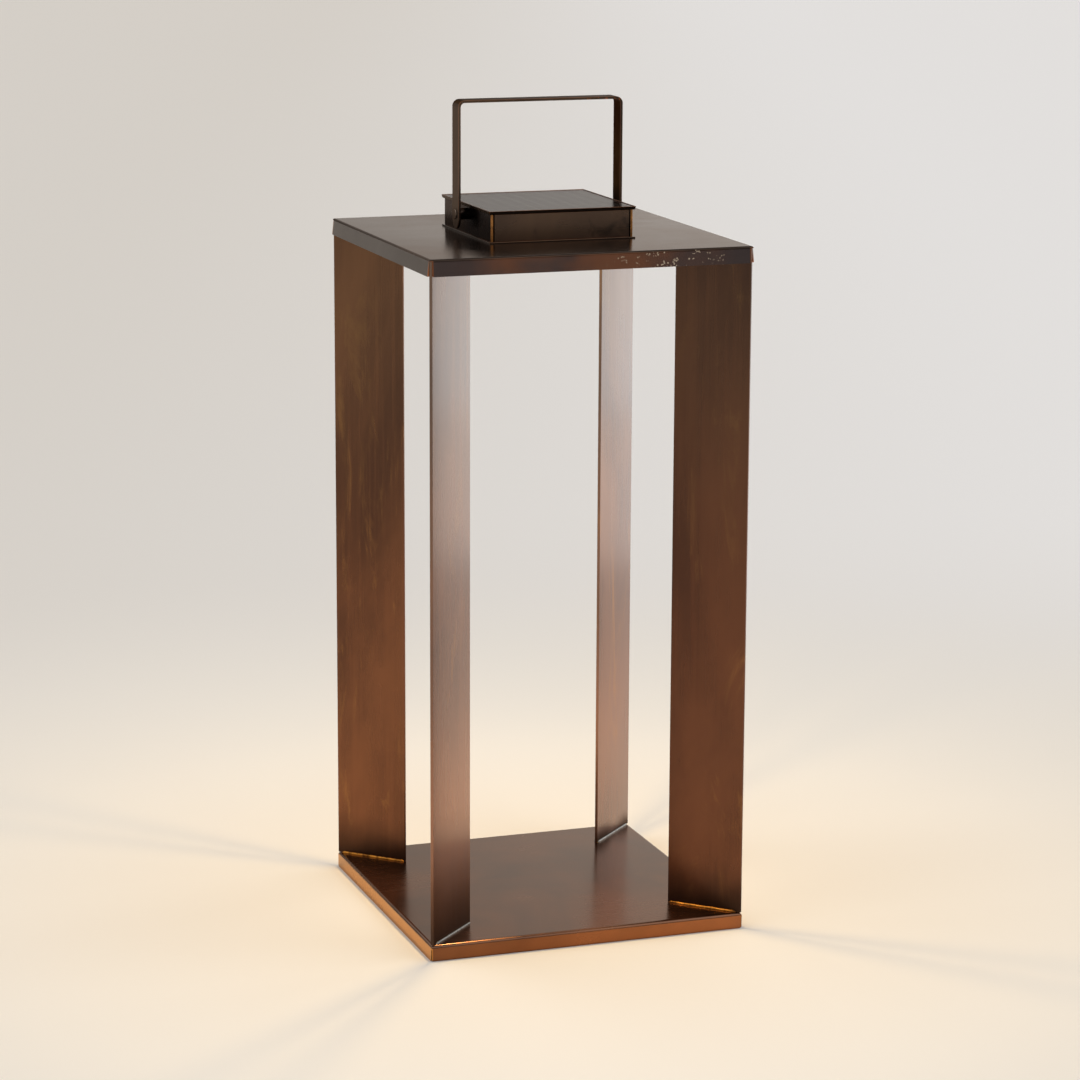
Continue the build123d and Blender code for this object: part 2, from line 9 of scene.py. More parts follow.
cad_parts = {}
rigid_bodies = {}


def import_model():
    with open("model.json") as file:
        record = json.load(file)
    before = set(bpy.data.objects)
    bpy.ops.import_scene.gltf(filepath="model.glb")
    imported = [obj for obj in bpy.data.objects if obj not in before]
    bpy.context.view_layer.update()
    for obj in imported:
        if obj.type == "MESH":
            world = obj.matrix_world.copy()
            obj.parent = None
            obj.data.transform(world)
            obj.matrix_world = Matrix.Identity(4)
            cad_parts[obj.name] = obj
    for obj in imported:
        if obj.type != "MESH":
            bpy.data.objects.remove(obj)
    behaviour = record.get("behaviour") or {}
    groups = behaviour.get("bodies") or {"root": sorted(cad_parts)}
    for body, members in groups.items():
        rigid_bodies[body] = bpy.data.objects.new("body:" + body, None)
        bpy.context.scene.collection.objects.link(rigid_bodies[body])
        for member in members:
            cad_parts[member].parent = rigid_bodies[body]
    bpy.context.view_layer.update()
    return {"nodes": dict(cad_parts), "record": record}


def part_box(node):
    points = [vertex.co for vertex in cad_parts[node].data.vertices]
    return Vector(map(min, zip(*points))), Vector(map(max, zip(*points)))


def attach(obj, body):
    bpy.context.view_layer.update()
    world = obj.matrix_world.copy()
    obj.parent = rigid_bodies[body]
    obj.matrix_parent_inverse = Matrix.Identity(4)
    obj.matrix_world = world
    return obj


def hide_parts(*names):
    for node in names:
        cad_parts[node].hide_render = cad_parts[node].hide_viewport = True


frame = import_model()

MM = 0.001

# Places read from the frame
BASE_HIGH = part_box("base_tray")[1]
PLATE_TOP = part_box("top_plate")[1].z
POST_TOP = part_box("post_right")[1].z
BEZEL_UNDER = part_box("diffuser_bezel")[0].z
LID_LOW, LID_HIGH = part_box("lid_tray")
SIDE_WALL_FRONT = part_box("housing_wall_left")[0].y
STRAP_LOW, STRAP_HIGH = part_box("handle_strap")
HALF = BASE_HIGH.x
BASE_TOP = BASE_HIGH.z

# Sizes of the posts and their welds, as in the CAD
POST_WIDTH = 63.2 * MM
POST_THICKNESS = 2.5 * MM
POST_SETBACK = 1.0 * MM
WELD_LEG = 1.8 * MM

# The camera looks from the front, a little to the left
CAMERA_AZIMUTH = math.radians(-19.33)
CAMERA_RIGHT = (math.cos(CAMERA_AZIMUTH), math.sin(CAMERA_AZIMUTH), 0.0)
CAMERA_AHEAD = (-math.sin(CAMERA_AZIMUTH), math.cos(CAMERA_AZIMUTH), 0.0)


# ---------------------------------------------------------------------------------------------
# Material building blocks
# ---------------------------------------------------------------------------------------------
class Nodes:
    """A node tree and the short calls that build it. Values are numbers, colours or sockets."""

    def __init__(self, tree, coordinates):
        self.tree = tree
        self.coords = tree.nodes.new("ShaderNodeTexCoord").outputs[coordinates]

    def feed(self, socket, value):
        """Give a socket a link or a value."""
        if isinstance(value, bpy.types.NodeSocket):
            self.tree.links.new(value, socket)
        else:
            socket.default_value = value

    def scaled(self, x, y, z):
        """Coordinates stretched along each axis."""
        node = self.tree.nodes.new("ShaderNodeMapping")
        node.inputs["Scale"].default_value = (x, y, z)
        self.feed(node.inputs["Vector"], self.coords)
        return node.outputs["Vector"]

    def noise(self, scale, detail=3.0, rough=0.5, vector=None, distortion=0.0):
        node = self.tree.nodes.new("ShaderNodeTexNoise")
        node.inputs["Scale"].default_value = scale
        node.inputs["Detail"].default_value = detail
        node.inputs["Roughness"].default_value = rough
        node.inputs["Distortion"].default_value = distortion
        self.feed(node.inputs["Vector"], vector or self.coords)
        return node.outputs["Fac"]

    def voronoi(self, scale, vector=None):
        node = self.tree.nodes.new("ShaderNodeTexVoronoi")
        node.inputs["Scale"].default_value = scale
        self.feed(node.inputs["Vector"], vector or self.coords)
        return node.outputs["Distance"]

    def ramp(self, value, low, high, start=0.0, end=1.0):
        """Smooth remap of low..high onto start..end, held level outside."""
        node = self.tree.nodes.new("ShaderNodeMapRange")
        node.interpolation_type = "SMOOTHSTEP"
        for index, number in enumerate((value, low, high, start, end)):
            self.feed(node.inputs[index], number)
        return node.outputs["Result"]

    def math(self, operation, a, b=0.0):
        node = self.tree.nodes.new("ShaderNodeMath")
        node.operation = operation
        self.feed(node.inputs[0], a)
        self.feed(node.inputs[1], b)
        return node.outputs["Value"]

    def product(self, first, *others):
        for other in others:
            first = self.math("MULTIPLY", first, other)
        return first

    def blend(self, fraction, a, b, kind="MIX"):
        """Mix two colours. Inputs 6 and 7 and output 2 are the node's colour sockets."""
        node = self.tree.nodes.new("ShaderNodeMix")
        node.data_type = "RGBA"
        node.blend_type = kind
        self.feed(node.inputs["Factor"], fraction)
        for socket, colour in zip((node.inputs[6], node.inputs[7]), (a, b)):
            self.feed(socket, colour if isinstance(colour, bpy.types.NodeSocket) else (*colour, 1.0))
        return node.outputs[2]

    def axis(self, letter):
        """One coordinate."""
        node = self.tree.nodes.new("ShaderNodeSeparateXYZ")
        self.feed(node.inputs["Vector"], self.coords)
        return node.outputs[letter]

    def along(self, direction):
        """Distance along a direction."""
        node = self.tree.nodes.new("ShaderNodeVectorMath")
        node.operation = "DOT_PRODUCT"
        self.feed(node.inputs[0], self.coords)
        node.inputs[1].default_value = direction
        return node.outputs["Value"]

    def band(self, value, low, high, soft):
        """1 between low and high, fading to 0 over soft on each side."""
        return self.product(self.ramp(value, low - soft, low), self.ramp(value, high + soft, high))


class Shader(Nodes):
    """One material: a Principled shader and the calls that feed it."""

    def __init__(self, name, **settings):
        self.material = bpy.data.materials.new(name)
        self.material.use_nodes = True
        super().__init__(self.material.node_tree, "Object")
        self.bsdf = self.tree.nodes["Principled BSDF"]
        for socket, value in settings.items():
            self.bsdf.inputs[socket.replace("_", " ")].default_value = value

    def put(self, socket, value):
        """Give an input of the Principled shader a value or a link."""
        self.feed(self.bsdf.inputs[socket], value)

    def bump(self, height, strength, distance):
        """Add a bump over any bump already in place."""
        node = self.tree.nodes.new("ShaderNodeBump")
        node.inputs["Strength"].default_value = strength
        node.inputs["Distance"].default_value = distance
        self.feed(node.inputs["Height"], height)
        normal = self.bsdf.inputs["Normal"]
        if normal.is_linked:
            self.tree.links.new(normal.links[0].from_socket, node.inputs["Normal"])
        self.tree.links.new(node.outputs["Normal"], normal)


# ---------------------------------------------------------------------------------------------
# Materials
# ---------------------------------------------------------------------------------------------
DARK = (0.085, 0.038, 0.022)
MID = (0.200, 0.084, 0.040)
GOLD = (0.420, 0.190, 0.060)
# Painted reflection of the warm lit floor on the base's left skirt
PAINTED_REFLECTION_GOLD = (0.560, 0.255, 0.062)
# Painted warm lamp glow on the lower front and rear posts
PAINTED_GLOW_COPPER = (0.620, 0.250, 0.120)
COPPER = (0.340, 0.125, 0.050)
RUST = (0.440, 0.130, 0.045)
# Painted light on the lid's rim and on the outer face of the handle's left leg
PAINTED_LIGHT_TAUPE = (0.200, 0.155, 0.125)
# Real soot in the housing's smudges, and painted shade at the post feet, the top plate's left skirt and front
# bend, the flange's lower edge and the lid's front face
SOOT_AND_PAINTED_SHADE = (0.022, 0.014, 0.010)
BARE_STEEL = (0.76, 0.62, 0.47)
SKIRT_GREY = (0.105, 0.084, 0.088)
# Cools the upper posts, so their lower parts keep a warm tone as painted lamp light
PAINTED_LIGHT_UPPER_TINT = (0.80, 1.02, 1.15)
TAUPE = (0.72, 0.93, 1.10)
GREY_TAUPE = (0.68, 1.0, 1.45)
DARK_TAUPE = (0.30, 0.46, 0.66)
MATT_EDGE = (0.42, 0.40, 0.38)
DULL_EDGE = (0.68, 0.64, 0.62)
# Painted shade: darker reflections at the front of the housing's side walls
BLACK_EDGE = (0.56, 0.57, 0.59)
# Floor tones that paint in the lamp's warm light and the shade under the lantern
FLOOR_PAINTED_WARM = (0.80, 0.768, 0.722)
FLOOR_COOL = (0.92, 0.915, 0.915)
FLOOR_PAINTED_LIT = (0.90, 0.870, 0.815)
FLOOR_PAINTED_SHADE = (0.66, 0.66, 0.66)
LAMP_COLOUR = (1.0, 0.69, 0.31)


def bronze(name, upright=True, rust=0.5, roughness=0.28, tone=(1.0, 1.0, 1.0), coat=0.4,
           edge=(1.0, 1.0, 1.0), streaky=0.45, foot_height=50 * MM, wear_and_light=None):
    """Brown patinated steel with brushed streaks, clouds and golden-rust patches.

    tone multiplies the brown, coat is the lacquer, edge tints glancing reflections and streaky sets how
    far the streaks show. An upright piece is cooler higher up, so its lower part keeps a warm tone as
    painted lamp light, and darkens over foot_height towards its welded foot as painted shade.
    The last argument, a function of (shader, colour), may add real marks and painted light to the colour.
    """
    s = Shader(name, Metallic=1.0, Coat_Weight=coat, Coat_Roughness=0.16, Coat_IOR=1.6,
               Specular_Tint=(*edge, 1.0))
    clouds = s.noise(7.0, 5.0, 0.6, s.scaled(1, 1, 0.35 if upright else 1), 0.5)
    streak_space = s.scaled(140, 140, 3.0) if upright else s.scaled(5, 130, 60)
    streaks = s.noise(1.0, 4.0, 0.65, streak_space)
    specks = s.noise(1600.0, 2.0, 0.5)
    dark, mid = ([channel * gain for channel, gain in zip(colour, tone)] for colour in (DARK, MID))
    brown = s.blend(s.ramp(clouds, 0.32, 0.68), dark, mid)
    brown = s.blend(s.ramp(streaks, 0.40, 0.72, 0.0, streaky), brown, mid)
    patches = s.noise(1.0, 6.0, 0.72, s.scaled(30, 30, 6.5) if upright else s.scaled(16, 16, 16), 1.2)
    patches = s.product(s.ramp(patches, 0.54, 0.76, 0.0, rust), s.ramp(streaks, 0.25, 0.65, 0.3, 1.0))
    if upright:
        patches = s.product(patches, s.ramp(s.axis("Z"), 0.50, 0.12, 0.35, 1.0))
    colour = s.blend(patches, brown, GOLD)
    colour = s.blend(s.ramp(specks, 0.62, 0.80, 0.0, 0.25), colour, DARK)
    if upright:
        # Painted light: the upper post is cooled, so the lower post keeps a warm tone that stands in for the
        # lamp's light
        high = s.ramp(s.axis("Z"), 0.22, 0.52)
        colour = s.blend(high, colour, PAINTED_LIGHT_UPPER_TINT, "MULTIPLY")
        # Painted shade: towards the welded foot the post darkens, loses lacquer and dulls its reflections
        foot = s.math("ADD", s.axis("Z"), s.product(s.noise(30.0), 20 * MM))
        foot = s.ramp(foot, BASE_TOP + foot_height, BASE_TOP + 8 * MM)
        colour = s.blend(s.product(foot, 0.85), colour, SOOT_AND_PAINTED_SHADE)
        s.put("Coat Weight", s.product(s.ramp(foot, 0.0, 1.0, 1.0, 0.25), coat))
        s.put("Specular Tint", s.blend(foot, edge, MATT_EDGE))
    s.put("Base Color", wear_and_light(s, colour) if wear_and_light else colour)
    satin = s.ramp(clouds, 0.3, 0.7, roughness - 0.04, roughness + 0.04)
    satin = s.math("ADD", satin, s.product(patches, 0.15))
    if upright:
        satin = s.math("ADD", satin, s.product(foot, 0.2))
    s.put("Roughness", s.math("ADD", satin, s.ramp(streaks, 0.3, 0.7, -0.07 * streaky, 0.07 * streaky)))
    s.bump(s.noise(11.0, 1.0, 0.4), 0.25, 1.2 * MM)
    s.bump(streaks, 0.22 * streaky if upright else 0.08 * streaky, 0.12 * MM)
    s.bump(specks, 0.08, 0.04 * MM)
    return s.material


def plate_wear_and_shade(s, colour):
    """A greyer front skirt with copper tones and chips, copper corners, and painted shade: a near-black left
    skirt and a dark front bend.
    """
    x, y, z = (s.axis(letter) for letter in "XYZ")
    front = s.ramp(y, -HALF + 3 * MM, -HALF + 1 * MM)
    bend = s.ramp(z, PLATE_TOP - 2.6 * MM, PLATE_TOP - 1.4 * MM)
    skirt = s.ramp(z, PLATE_TOP - 0.6 * MM, PLATE_TOP - 2.2 * MM)
    left = s.ramp(x, -HALF + 3 * MM, -HALF + 1 * MM)
    colour = s.blend(s.product(skirt, front, 0.6), colour, SKIRT_GREY)
    # Painted shade: the left skirt is darkened to near-black
    colour = s.blend(s.product(skirt, left), colour, SOOT_AND_PAINTED_SHADE)
    # Painted shade: a dark reflection along the front bend
    colour = s.blend(s.product(front, bend, 0.9), colour, SOOT_AND_PAINTED_SHADE)
    ends = (s.ramp(s.math("ABSOLUTE", value), HALF - 3.2 * MM, HALF - 2.0 * MM) for value in (x, y))
    colour = s.blend(s.product(skirt, *ends), colour, COPPER)
    copper = s.product(front, skirt, s.band(x, -60 * MM, 60 * MM, 60 * MM), s.ramp(s.noise(26.0), 0.25, 0.70))
    colour = s.blend(s.product(copper, 0.6), colour, COPPER)
    flakes = s.product(s.ramp(s.voronoi(620.0), 0.42, 0.30), s.ramp(s.noise(170.0, 2.0), 0.52, 0.58))
    sparse = s.product(s.band(x, 10 * MM, 110 * MM, 10 * MM), 0.3)
    place = s.math("MAXIMUM", s.band(x, 52 * MM, 84 * MM, 14 * MM), sparse)
    chips = s.ramp(s.product(front, skirt, flakes, place), 0.22, 0.32)
    return s.blend(chips, colour, BARE_STEEL)


def painted_lamp_glow(s, colour):
    """A brighter copper tone on the lower part of a post, strongest 120 mm up: painted warm light from the
    lamp.
    """
    return s.blend(s.product(s.band(s.axis("Z"), 0.12, 0.12, 0.12), 0.34), colour, PAINTED_GLOW_COPPER)


def base_tones_and_reflection(s, colour):
    """Copper skirts without lacquer, their copper stronger towards the right, and the left one golden, as
    painted reflection of the warm lit floor.
    """
    height = s.axis("Z")
    skirt = s.ramp(height, BASE_TOP - 1.2 * MM, BASE_TOP - 3.0 * MM)
    tone = s.ramp(s.noise(26.0, 4.0, 0.6), 0.3, 0.7, 0.7, 1.0)
    # Painted reflection: the skirt's copper strengthens from left to right
    tone = s.product(tone, s.ramp(s.axis("X"), -HALF, HALF, 0.35, 1.2))
    left = s.ramp(s.axis("X"), -HALF + 2 * MM, -HALF + 0.5 * MM)
    s.put("Coat Weight", s.ramp(height, BASE_TOP - 3.0 * MM, BASE_TOP - 1.2 * MM, 0.0, 0.36))
    # Painted reflection: the left skirt turns golden like the warm lit floor it faces
    skirt_colour = s.blend(left, COPPER, PAINTED_REFLECTION_GOLD)
    return s.blend(s.product(skirt, s.math("MAXIMUM", tone, left)), colour, skirt_colour)


def smudged(s, colour):
    """Finger marks and soot on the small faces of the housing."""
    marks = s.ramp(s.noise(48.0, 3.0, 0.6, distortion=0.8), 0.55, 0.75, 0.0, 0.8)
    return s.blend(marks, colour, SOOT_AND_PAINTED_SHADE)


def side_wall_highlight_and_shade(s, colour):
    """Painted light on the side walls: a golden highlight along their front edges, and reflections tinted
    darker towards the front as painted shade.
    """
    front = s.ramp(s.axis("Y"), SIDE_WALL_FRONT + 0.9 * MM, SIDE_WALL_FRONT + 0.4 * MM)
    tone = s.ramp(s.noise(220.0), 0.3, 0.6, 0.55, 1.0)
    # Painted shade: reflections tinted darker towards the front
    s.put("Specular Tint", s.blend(s.ramp(s.axis("Y"), 25 * MM, -15 * MM), DULL_EDGE, BLACK_EDGE))
    # Painted highlight: gold along the front edges
    return s.blend(s.product(front, tone), colour, GOLD)


def flange_painted_shadow(s, colour):
    """A painted shadow line along the lower edge of the housing's flange."""
    return s.blend(s.ramp(s.axis("Z"), PLATE_TOP + 0.5 * MM, PLATE_TOP + 0.8 * MM), SOOT_AND_PAINTED_SHADE, colour)


def lid_painted_light(s, colour):
    """Painted light on the lid: a paler rim on its left and rear as a painted highlight, and a dark front
    face as painted shade.
    """
    x, y = s.axis("X"), s.axis("Y")
    # Painted highlight along the left and rear rim
    pale_rim = s.math("MAXIMUM", s.ramp(x, LID_LOW.x + 2.0 * MM, LID_LOW.x + 1.2 * MM),
                    s.ramp(y, LID_HIGH.y - 2.0 * MM, LID_HIGH.y - 1.2 * MM))
    # Painted shade on the front face
    front = s.ramp(y, LID_LOW.y + 1.0 * MM, LID_LOW.y + 0.5 * MM)
    return s.blend(front, s.blend(s.product(pale_rim, 0.8), colour, PAINTED_LIGHT_TAUPE), SOOT_AND_PAINTED_SHADE)


def handle_rust_and_light(s, colour):
    """A paler outer face on the left leg as painted light, and rust specks along the right end of the grip.
    """
    x, z = s.axis("X"), s.axis("Z")
    # Painted light: the left leg's outer face is paler
    outer = s.ramp(x, STRAP_LOW.x + 1.0 * MM, STRAP_LOW.x + 0.4 * MM)
    specks = s.ramp(s.noise(420.0, 3.0, 0.6), 0.58, 0.66)
    place = s.product(s.ramp(x, 20 * MM, 50 * MM), s.ramp(z, STRAP_HIGH.z - 4 * MM, STRAP_HIGH.z - 2 * MM))
    return s.blend(s.product(specks, place), s.blend(outer, colour, PAINTED_LIGHT_TAUPE), RUST)


def plain_metal(name, colour, roughness=0.35):
    """Zinc, brass, nickel or aluminium with fine turning marks."""
    s = Shader(name, Metallic=1.0)
    grain = s.noise(1.0, 3.0, 0.6, s.scaled(900, 900, 120))
    s.put("Base Color", s.blend(s.ramp(grain, 0.35, 0.7), [c * 0.82 for c in colour], colour))
    s.put("Roughness", s.ramp(grain, 0.3, 0.7, roughness - 0.06, roughness + 0.08))
    s.bump(grain, 0.12, 0.03 * MM)
    return s.material


def moulded(name, colour, roughness=0.5, grain_scale=2600.0):
    """Moulded plastic or rubber with a fine spark-eroded grain."""
    s = Shader(name)
    grain = s.noise(grain_scale, 2.0, 0.5)
    cloud = s.noise(30.0, 3.0, 0.5)
    s.put("Base Color", s.blend(s.ramp(cloud, 0.3, 0.7), [c * 0.8 for c in colour], colour))
    s.put("Roughness", s.ramp(grain, 0.3, 0.7, roughness - 0.06, roughness + 0.08))
    s.bump(grain, 0.25, 0.05 * MM)
    return s.material


def weld_metal(name, low, high, roughness, coat=0.3):
    """Weld beads, mottled between two tones."""
    s = Shader(name, Metallic=1.0, Coat_Weight=coat, Coat_Roughness=0.2)
    tone = s.noise(160.0, 4.0, 0.6)
    ripple = s.noise(900.0, 2.0, 0.5)
    colour = s.blend(s.ramp(tone, 0.35, 0.65), low, high)
    s.put("Base Color", s.blend(s.ramp(ripple, 0.58, 0.78, 0.0, 0.7), colour, (0.16, 0.07, 0.03)))
    s.put("Roughness", s.ramp(ripple, 0.3, 0.7, roughness - 0.08, roughness + 0.10))
    s.bump(ripple, 0.3, 0.1 * MM)
    return s.material


def solar_cell():
    """Dark cells with fine silver fingers and a darker crystal mottling."""
    s = Shader("solar_cell", Specular_IOR_Level=0.6)
    crystal = s.voronoi(160.0)
    finger_pitch, bus_pitch = 1.8 * MM, 11.4 * MM
    fingers = s.math("PINGPONG", s.axis("Y"), finger_pitch / 2)
    bus = s.math("PINGPONG", s.math("ADD", s.axis("X"), bus_pitch / 2), bus_pitch / 2)
    colour = s.blend(s.ramp(crystal, 0.0, 0.9), (0.006, 0.008, 0.018), (0.014, 0.018, 0.036))
    colour = s.blend(s.ramp(fingers, 0.09 * MM, 0.03 * MM), colour, (0.20, 0.20, 0.21))
    s.put("Base Color", s.blend(s.ramp(bus, 0.5 * MM, 0.3 * MM), colour, (0.34, 0.33, 0.33)))
    s.put("Roughness", s.ramp(crystal, 0.0, 0.8, 0.22, 0.34))
    return s.material


def panel_laminate():
    """Smoke-tinted satin laminate over the solar cells."""
    s = Shader("panel_laminate", Roughness=0.24, IOR=1.33, Transmission_Weight=1.0)
    cloud = s.noise(24.0, 4.0, 0.6)
    s.put("Base Color", s.blend(s.ramp(cloud, 0.3, 0.7), (0.26, 0.15, 0.14), (0.34, 0.21, 0.19)))
    s.bump(s.noise(3000.0, 1.0, 0.5), 0.12, 0.02 * MM)
    return s.material


def circuit_board():
    """Solder mask over copper tracks, with bare pads."""
    s = Shader("circuit_board", Specular_IOR_Level=0.6)
    tracks = s.voronoi(420.0)
    cloud = s.noise(60.0, 2.0, 0.5)
    mask = s.blend(s.ramp(cloud, 0.3, 0.7), (0.010, 0.060, 0.022), (0.016, 0.090, 0.034))
    s.put("Base Color", s.blend(s.ramp(tracks, 0.16, 0.12), mask, (0.03, 0.16, 0.06)))
    s.put("Roughness", s.ramp(tracks, 0.1, 0.5, 0.28, 0.40))
    s.bump(tracks, 0.2, 0.04 * MM)
    return s.material


def glowing(name, colour, strength, roughness=0.5):
    """A lit diffuser or emitter, glowing in the lamp's colour."""
    s = Shader(name, Roughness=roughness, Emission_Strength=strength)
    s.put("Emission Color", (*LAMP_COLOUR, 1.0))
    cloud = s.noise(40.0, 3.0, 0.5)
    s.put("Base Color", s.blend(s.ramp(cloud, 0.3, 0.7), [c * 0.94 for c in colour], colour))
    s.bump(s.noise(1800.0, 2.0, 0.5), 0.2, 0.05 * MM)
    return s.material


def floor_material():
    """Pale matt studio floor with painted lamp light: warm near the lantern and cooler towards the right and
    rear, lighter in a painted pool of light around it, and grey with painted shade under it.
    """
    s = Shader("studio_floor", Roughness=0.9, Specular_IOR_Level=0.0)
    side = s.ramp(s.along(CAMERA_RIGHT), -1.0, 1.0)
    behind = s.ramp(s.along(CAMERA_AHEAD), -0.2, 1.6)
    # Painted light: warm near the lantern, cooling towards the right and rear
    colour = s.blend(s.product(side, behind), FLOOR_PAINTED_WARM, FLOOR_COOL)
    node = s.tree.nodes.new("ShaderNodeVectorMath")
    node.operation = "LENGTH"
    s.feed(node.inputs[0], s.coords)
    away = node.outputs["Value"]
    # Painted pool of lamp light around the lantern
    colour = s.blend(s.ramp(away, 1.25, 0.5), colour, FLOOR_PAINTED_LIT)
    # Painted shade under the lantern
    s.put("Base Color", s.blend(s.ramp(away, 0.50, 0.15, 0.0, 0.6), colour, FLOOR_PAINTED_SHADE))
    s.bump(s.noise(900.0, 3.0, 0.6), 0.05, 0.2 * MM)
    return s.material


# Painted shade: the side walls are a darker, unlacquered copy of the housing's bronze
SIDE_WALL = dict(upright=False, rust=0.1, tone=DARK_TAUPE, coat=0.0, wear_and_light=side_wall_highlight_and_shade)
HANDLE = bronze("bronze_handle", upright=False, rust=0.1, tone=(0.56, 0.86, 1.15), roughness=0.36, coat=0.0,
                edge=(0.37, 0.35, 0.34), streaky=0.25, wear_and_light=handle_rust_and_light)
NODE_BRONZE = {
    "pivot_pin_left": HANDLE,
    "pivot_pin_right": HANDLE,
    "post_left": bronze("bronze_post_left", rust=1.0, tone=(1.3, 1.2, 1.1), coat=0.12),
    "post_right": bronze("bronze_post_right", rust=0.5, tone=(0.88, 0.80, 0.80), coat=0.15),
    "post_front": bronze("bronze_post_front", rust=1.0, tone=(1.5, 1.5, 1.5), coat=1.0,
                         foot_height=120 * MM, wear_and_light=painted_lamp_glow),
    "post_rear": bronze("bronze_post_rear", rust=1.0, tone=(1.3, 1.4, 1.5), coat=0.9,
                        edge=(0.92, 0.95, 1.0), foot_height=25 * MM, wear_and_light=painted_lamp_glow),
    "top_plate": bronze("bronze_top_plate", upright=False, rust=0.15, tone=GREY_TAUPE, coat=0.1,
                        roughness=0.22, edge=(0.96, 0.92, 0.89), streaky=0.12, wear_and_light=plate_wear_and_shade),
    "base_tray": bronze("bronze_base_tray", upright=False, rust=0.2, coat=0.45, edge=(1.0, 0.93, 0.86),
                        roughness=0.24, streaky=0.25, wear_and_light=base_tones_and_reflection),
    "lid_tray": bronze("bronze_lid_tray", upright=False, rust=0.1, tone=DARK_TAUPE, coat=0.1, edge=MATT_EDGE,
                       wear_and_light=lid_painted_light),
    "housing_floor": bronze("bronze_flange", upright=False, rust=0.2, tone=TAUPE, coat=0.2, wear_and_light=flange_painted_shadow),
    "housing_wall_left": bronze("bronze_side_left", **SIDE_WALL),
    "housing_wall_right": bronze("bronze_side_right", **SIDE_WALL),
}
MATERIALS = {
    "housing_bronze": bronze("bronze_housing", upright=False, rust=0.15, tone=(0.64, 0.90, 1.15), coat=0.2,
                             streaky=0.25, wear_and_light=smudged),
    "handle_bronze": HANDLE,
    "weld_metal": weld_metal("weld_metal", (0.20, 0.20, 0.19), (0.30, 0.30, 0.29), 0.30),
    "pivot_steel": bronze("bronze_pivots", upright=False, rust=0.0, tone=DARK_TAUPE, coat=0.0,
                          edge=MATT_EDGE),
    "zinc_steel": plain_metal("zinc_steel", (0.58, 0.58, 0.57)),
    "brass_spacer": plain_metal("brass_spacer", (0.74, 0.52, 0.22), 0.3),
    "solar_cell": solar_cell(),
    "panel_laminate": panel_laminate(),
    "circuit_board": circuit_board(),
    "black_plastic": moulded("black_plastic", (0.022, 0.021, 0.020)),
    "button_plastic": moulded("button_plastic", (0.040, 0.038, 0.036), 0.42),
    "seal_rubber": moulded("seal_rubber", (0.020, 0.020, 0.020), 0.7, 1500.0),
    "diffuser_opal": glowing("diffuser_opal", (0.88, 0.85, 0.78), 6.0),
    "reflector_white": moulded("reflector_white", (0.82, 0.82, 0.80), 0.35),
    "aluminium_plate": plain_metal("aluminium_plate", (0.80, 0.80, 0.80)),
    "led_package": glowing("led_package", (0.90, 0.72, 0.30), 8.0, 0.35),
    "battery_sleeve": moulded("battery_sleeve", (0.030, 0.085, 0.20), 0.3, 900.0),
    "nickel_tab": plain_metal("nickel_tab", (0.66, 0.64, 0.60), 0.25),
    "lead_insulation": moulded("lead_insulation", (0.30, 0.030, 0.025), 0.38, 1200.0),
}
GOLDEN_WELD = weld_metal("weld_golden", (0.12, 0.045, 0.012), (0.66, 0.28, 0.045), 0.40, coat=0.0)
WORN_EDGE = bronze("bronze_worn_edge", upright=False, rust=1.0, tone=(1.8, 1.8, 1.8), coat=0.1,
                   roughness=0.34)
SLOT_OF = {part["node"]: part["material_slot"] for part in frame["record"]["subparts"]}
BODY_OF = {node: body for body, nodes in frame["record"]["behaviour"]["bodies"].items() for node in nodes}


def finish_of(node):
    """A node's own bronze, or its slot's material."""
    return NODE_BRONZE[node] if node in NODE_BRONZE else MATERIALS[SLOT_OF[node]]


def dress(piece, node):
    """Give a mesh the finish of a CAD node."""
    piece.data.materials.clear()
    piece.data.materials.append(finish_of(node))


# ---------------------------------------------------------------------------------------------
# Pieces: CAD shapes with softened edges, and modelled details
# ---------------------------------------------------------------------------------------------
# Edges that turn by more than this are bevelled and stay sharp
CREASE_ANGLE = math.radians(38)
# The lid rim's points: how near a corner they start, and how far they are drawn out
CORNER_REACH = 1.5 * MM
CORNER_PULL = 0.45 * MM
# Weld beads: mesh step and facets, tapered ends, ripples, and gaps at the two ends of a post
BEAD_STEP = 0.55 * MM
BEAD_FACETS = 6
BEAD_TAPER = 2.5 * MM
RIPPLE_PITCH = 2.1 * MM
BEAD_INNER_GAP = 1.0 * MM
BEAD_OUTER_GAP = 5.0 * MM


def softened(node, width, shape=None, worn=True):
    """Stand in for a CAD node with the same shape and rounded, worn edges. shape may move its points."""
    mesh = frame["nodes"][node].data.copy()
    mesh.name = f"{node}_finished"
    work = bmesh.new()
    work.from_mesh(mesh)
    bmesh.ops.remove_doubles(work, verts=work.verts, dist=2e-6)
    bmesh.ops.dissolve_limit(work, angle_limit=math.radians(0.6), verts=work.verts, edges=work.edges)
    if shape:
        shape(work)
    work.to_mesh(mesh)
    work.free()
    piece = bpy.data.objects.new(f"{node}_finished", mesh)
    bpy.context.collection.objects.link(piece)
    mesh.shade_smooth()
    mesh.set_sharp_from_angle(angle=CREASE_ANGLE)
    bevel = piece.modifiers.new("soft_edges", "BEVEL")
    bevel.width = width
    bevel.segments = 3
    bevel.limit_method = "ANGLE"
    bevel.angle_limit = CREASE_ANGLE
    bevel.use_clamp_overlap = True
    bevel.harden_normals = True
    dress(piece, node)
    if worn:
        mesh.materials.append(WORN_EDGE)
        bevel.material = 1
    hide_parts(node)
    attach(piece, BODY_OF[node])


